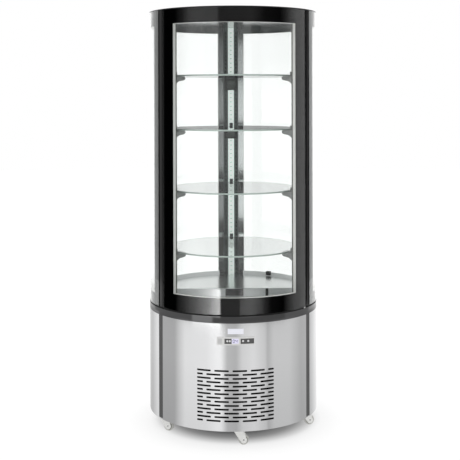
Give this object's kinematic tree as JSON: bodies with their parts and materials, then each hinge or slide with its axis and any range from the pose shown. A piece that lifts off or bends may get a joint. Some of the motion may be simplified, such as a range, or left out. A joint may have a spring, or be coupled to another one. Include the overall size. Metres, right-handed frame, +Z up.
{
  "type": "display cabinet",
  "caption": "Round refrigerated glass showcase: a curved glass door and fixed curved glass over a slotted steel base, with round glass shelves on bracket arms and swivel casters.",
  "frame": {"origin": "on the floor under the cabinet's axis", "axes": "+Z up, the door and air grille face -Y, +X is to the right of someone facing the door"},
  "size_m": [0.68, 0.68, 1.6757],
  "materials": {
    "stainless": "brushed stainless sheet",
    "dark_aluminium": "dark grey painted aluminium",
    "dark_trim": "dark grey satin",
    "roof_paint": "dark satin paint",
    "tub_shell": "moulded shell over foam",
    "clear_glass": "clear tempered glass",
    "shelf_glass": "clear glass with grey-green edge",
    "grey_enamel": "silver-grey enamel behind glass",
    "black_frame": "black enamel behind glass",
    "rubber": "dark seal",
    "light_diffuser": "white light diffuser",
    "bracket_grey": "grey satin paint",
    "black_plastic": "black moulded plastic",
    "button_plastic": "grey keys",
    "compressor_paint": "black enamel",
    "coil_aluminium": "bare fins",
    "caster_plastic": "off-white moulded plastic"
  },
  "bodies": {
    "cabinet": {"base_pan": "stainless", "base_front_panel": "stainless", "base_left_panel": "stainless", "base_right_panel": "stainless", "left_post": "dark_aluminium", "right_post": "dark_aluminium", "rear_post": "dark_aluminium", "base_ring": "dark_trim", "insulated_tub": "tub_shell", "chamber_floor": "stainless", "rear_deck": "stainless", "ceiling_panel": "stainless", "roof_cap": "roof_paint", "left_outer_glass": "clear_glass", "left_glass_frame": "grey_enamel", "left_inner_glass": "clear_glass", "right_outer_glass": "clear_glass", "right_glass_frame": "grey_enamel", "right_inner_glass": "clear_glass", "led_strip": "light_diffuser", "left_bracket_1": "bracket_grey", "left_bracket_2": "bracket_grey", "left_bracket_3": "bracket_grey", "left_bracket_4": "bracket_grey", "right_bracket_1": "bracket_grey", "right_bracket_2": "bracket_grey", "right_bracket_3": "bracket_grey", "right_bracket_4": "bracket_grey", "rear_bracket_1": "bracket_grey", "rear_bracket_2": "bracket_grey", "rear_bracket_3": "bracket_grey", "rear_bracket_4": "bracket_grey", "control_bezel": "black_plastic", "compressor": "compressor_paint", "condenser_coil": "coil_aluminium", "condenser_fan_shroud": "black_plastic", "evaporator_coil": "coil_aluminium", "power_inlet": "black_plastic"},
    "door": {"door_outer_glass": "clear_glass", "door_frame": "black_frame", "door_inner_glass": "clear_glass", "door_gasket": "rubber"},
    "turning_shelf_1": {"shelf_1": "shelf_glass"},
    "turning_shelf_2": {"shelf_2": "shelf_glass"},
    "turning_shelf_3": {"shelf_3": "shelf_glass"},
    "turning_shelf_4": {"shelf_4": "shelf_glass"},
    "button_1": {"control_button_1": "button_plastic"},
    "button_2": {"control_button_2": "button_plastic"},
    "button_3": {"control_button_3": "button_plastic"},
    "button_4": {"control_button_4": "button_plastic"},
    "condenser_rotor": {"condenser_fan": "black_plastic"},
    "evaporator_rotor": {"evaporator_fan": "black_plastic"},
    "front_swivel": {"front_caster_fork": "caster_plastic"},
    "front_wheel": {"front_caster_wheel": "caster_plastic"},
    "left_swivel": {"left_caster_fork": "caster_plastic"},
    "left_wheel": {"left_caster_wheel": "caster_plastic"},
    "right_swivel": {"right_caster_fork": "caster_plastic"},
    "right_wheel": {"right_caster_wheel": "caster_plastic"},
    "rear_swivel": {"rear_caster_fork": "caster_plastic"},
    "rear_wheel": {"rear_caster_wheel": "caster_plastic"}
  },
  "joints": [
    {"name": "door_hinge", "type": "hinge", "parent": "cabinet", "child": "door", "pos_m": [0.26561, -0.19583, 0.51], "axis": [0, 0, 1], "range_deg": [0, 110]},
    {"name": "shelf_1_turn", "type": "hinge", "parent": "cabinet", "child": "turning_shelf_1", "pos_m": [0, 0, 0.717], "axis": [0, 0, 1], "continuous": true},
    {"name": "shelf_2_turn", "type": "hinge", "parent": "cabinet", "child": "turning_shelf_2", "pos_m": [0, 0, 0.957], "axis": [0, 0, 1], "continuous": true},
    {"name": "shelf_3_turn", "type": "hinge", "parent": "cabinet", "child": "turning_shelf_3", "pos_m": [0, 0, 1.201], "axis": [0, 0, 1], "continuous": true},
    {"name": "shelf_4_turn", "type": "hinge", "parent": "cabinet", "child": "turning_shelf_4", "pos_m": [0, 0, 1.414], "axis": [0, 0, 1], "continuous": true},
    {"name": "button_1_press", "type": "slide", "parent": "cabinet", "child": "button_1", "axis": [0, 1, 0], "range_m": [0, 0.001], "stiffness_N_per_m": 600},
    {"name": "button_2_press", "type": "slide", "parent": "cabinet", "child": "button_2", "axis": [0, 1, 0], "range_m": [0, 0.001], "stiffness_N_per_m": 600},
    {"name": "button_3_press", "type": "slide", "parent": "cabinet", "child": "button_3", "axis": [0, 1, 0], "range_m": [0, 0.001], "stiffness_N_per_m": 600},
    {"name": "button_4_press", "type": "slide", "parent": "cabinet", "child": "button_4", "axis": [0, 1, 0], "range_m": [0, 0.001], "stiffness_N_per_m": 600},
    {"name": "condenser_fan_spin", "type": "hinge", "parent": "cabinet", "child": "condenser_rotor", "pos_m": [0, -0.1797, 0.1743], "axis": [0, 1, 0], "continuous": true},
    {"name": "evaporator_fan_spin", "type": "hinge", "parent": "cabinet", "child": "evaporator_rotor", "pos_m": [0, 0.175, 0.4817], "axis": [0, 0, 1], "continuous": true},
    {"name": "front_caster_swivel", "type": "hinge", "parent": "cabinet", "child": "front_swivel", "pos_m": [0, -0.258, 0.07], "axis": [0, 0, 1], "continuous": true},
    {"name": "front_wheel_roll", "type": "hinge", "parent": "front_swivel", "child": "front_wheel", "pos_m": [0.032, -0.258, 0.02], "axis": [0, 1, 0], "continuous": true},
    {"name": "left_caster_swivel", "type": "hinge", "parent": "cabinet", "child": "left_swivel", "pos_m": [-0.28881, -0.07739, 0.07], "axis": [0, 0, 1], "continuous": true},
    {"name": "left_wheel_roll", "type": "hinge", "parent": "left_swivel", "child": "left_wheel", "pos_m": [-0.25958, -0.0904, 0.02], "axis": [0.4067, 0.9135, 0], "continuous": true},
    {"name": "right_caster_swivel", "type": "hinge", "parent": "cabinet", "child": "right_swivel", "pos_m": [0.27557, -0.04365, 0.07], "axis": [0, 0, 1], "continuous": true},
    {"name": "right_wheel_roll", "type": "hinge", "parent": "right_swivel", "child": "right_wheel", "pos_m": [0.30647, -0.03536, 0.02], "axis": [-0.2588, 0.9659, 0], "continuous": true},
    {"name": "rear_caster_swivel", "type": "hinge", "parent": "cabinet", "child": "rear_swivel", "pos_m": [0, 0.275, 0.07], "axis": [0, 0, 1], "continuous": true},
    {"name": "rear_wheel_roll", "type": "hinge", "parent": "rear_swivel", "child": "rear_wheel", "pos_m": [0, 0.243, 0.02], "axis": [1, 0, 0], "continuous": true}
  ]
}
